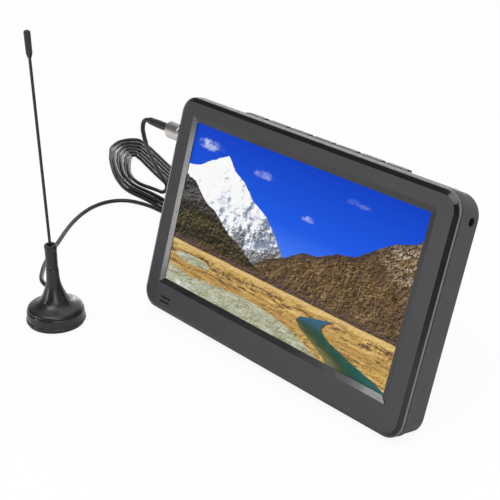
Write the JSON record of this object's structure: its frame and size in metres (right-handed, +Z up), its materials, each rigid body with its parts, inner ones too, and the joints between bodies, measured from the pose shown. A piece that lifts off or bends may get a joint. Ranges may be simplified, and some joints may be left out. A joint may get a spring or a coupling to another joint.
{
  "type": "portable television",
  "caption": "Portable flat-panel television leaning on a fold-out stand, with a plug-in magnetic-base whip aerial and coiled coax lead.",
  "frame": {"origin": "centre of the front rubber foot strip's underside, on the floor", "axes": "+Z up, +X to the watcher's right along the set's width, -Y towards the watcher"},
  "size_m": [0.3912, 0.2126, 0.1574],
  "materials": {
    "charcoal_paint": "fine matte",
    "housing_plastic": "fine matte grain",
    "window_clear": "gloss",
    "black_plastic": "matte",
    "black_gloss": "semi-gloss",
    "rubber_black": "matte",
    "lcd_dark": "gloss",
    "acrylic": "clear",
    "tray_steel": "satin",
    "circuit_green": "solder mask",
    "polyimide": "satin",
    "tin_plate": "satin",
    "alloy": "satin",
    "screw_black": "black oxide",
    "battery_film": "satin",
    "lead_red": "satin",
    "paper_cone": "matte",
    "magnet_dark": "matte",
    "brass_plated": "satin",
    "nickel": "polished",
    "white_plastic": "satin",
    "yellow_plastic": "satin"
  },
  "bodies": {
    "set": {"av_jack": "yellow_plastic", "backlight_tray": "tray_steel", "battery_lead": "lead_red", "battery_pack": "battery_film", "board_capacitors": "alloy", "board_screws": "tin_plate", "case_screws": "screw_black", "coax_socket": "nickel", "dc_jack": "black_plastic", "foot_strip": "rubber_black", "front_bezel": "charcoal_paint", "headphone_jack": "black_plastic", "heat_spreader": "alloy", "ir_window": "black_gloss", "key_board": "circuit_green", "key_ribbon": "white_plastic", "key_switches": "black_plastic", "kickstand_pin": "tin_plate", "lcd_glass": "lcd_dark", "light_guide": "acrylic", "main_board": "circuit_green", "main_chip": "black_plastic", "memory_chip": "black_plastic", "panel_ribbon": "polyimide", "rear_housing": "housing_plastic", "screen_window": "window_clear", "speaker_cones": "paper_cone", "speaker_gaskets": "rubber_black", "speaker_leads": "black_plastic", "speaker_left": "tray_steel", "speaker_right": "tray_steel", "tuner_can": "tin_plate", "usb_socket": "tin_plate", "window_tape": "black_plastic"},
    "stand": {"kickstand": "housing_plastic", "kickstand_sleeve": "rubber_black"},
    "aerial": {"aerial_base": "black_gloss", "base_ring": "black_gloss", "base_magnet": "magnet_dark", "base_plate": "tin_plate", "base_pad": "rubber_black", "base_grommet": "rubber_black", "neck_stud": "brass_plated", "plug_shell": "nickel", "plug_insulator": "white_plastic", "plug_pin": "brass_plated", "plug_boot": "rubber_black", "aerial_lead": "rubber_black"},
    "whip": {"whip_collar": "black_gloss", "whip_rod": "black_gloss", "whip_tip": "black_gloss"},
    "power_key_body": {"power_key": "housing_plastic"},
    "source_key_body": {"source_key": "housing_plastic"},
    "menu_key_body": {"menu_key": "housing_plastic"},
    "channel_down_key_body": {"channel_down_key": "housing_plastic"},
    "channel_up_key_body": {"channel_up_key": "housing_plastic"},
    "volume_down_key_body": {"volume_down_key": "housing_plastic"},
    "volume_up_key_body": {"volume_up_key": "housing_plastic"}
  },
  "joints": [
    {"name": "power_press", "type": "slide", "parent": "set", "child": "power_key_body", "axis": [0, -0.2924, -0.9563], "range_m": [0, 0.0005], "stiffness_N_per_m": 900, "springref_m": -0.0003},
    {"name": "source_press", "type": "slide", "parent": "set", "child": "source_key_body", "axis": [0, -0.2924, -0.9563], "range_m": [0, 0.0005], "stiffness_N_per_m": 900, "springref_m": -0.0003},
    {"name": "menu_press", "type": "slide", "parent": "set", "child": "menu_key_body", "axis": [0, -0.2924, -0.9563], "range_m": [0, 0.0005], "stiffness_N_per_m": 900, "springref_m": -0.0003},
    {"name": "channel_down_press", "type": "slide", "parent": "set", "child": "channel_down_key_body", "axis": [0, -0.2924, -0.9563], "range_m": [0, 0.0005], "stiffness_N_per_m": 900, "springref_m": -0.0003},
    {"name": "channel_up_press", "type": "slide", "parent": "set", "child": "channel_up_key_body", "axis": [0, -0.2924, -0.9563], "range_m": [0, 0.0005], "stiffness_N_per_m": 900, "springref_m": -0.0003},
    {"name": "volume_down_press", "type": "slide", "parent": "set", "child": "volume_down_key_body", "axis": [0, -0.2924, -0.9563], "range_m": [0, 0.0005], "stiffness_N_per_m": 900, "springref_m": -0.0003},
    {"name": "volume_up_press", "type": "slide", "parent": "set", "child": "volume_up_key_body", "axis": [0, -0.2924, -0.9563], "range_m": [0, 0.0005], "stiffness_N_per_m": 900, "springref_m": -0.0003},
    {"name": "stand_fold", "type": "hinge", "parent": "set", "child": "stand", "pos_m": [0, 0.03499, 0.07988], "axis": [1, 0, 0], "range_deg": [-30.19, 0]},
    {"name": "plug_pull", "type": "slide", "parent": "set", "child": "aerial", "axis": [-1, 0, 0], "range_m": [0, 0.02]},
    {"name": "whip_unscrew", "type": "hinge", "parent": "aerial", "child": "whip", "pos_m": [-0.108, -0.0502, 0.036], "axis": [0, 0, 1], "continuous": true}
  ]
}
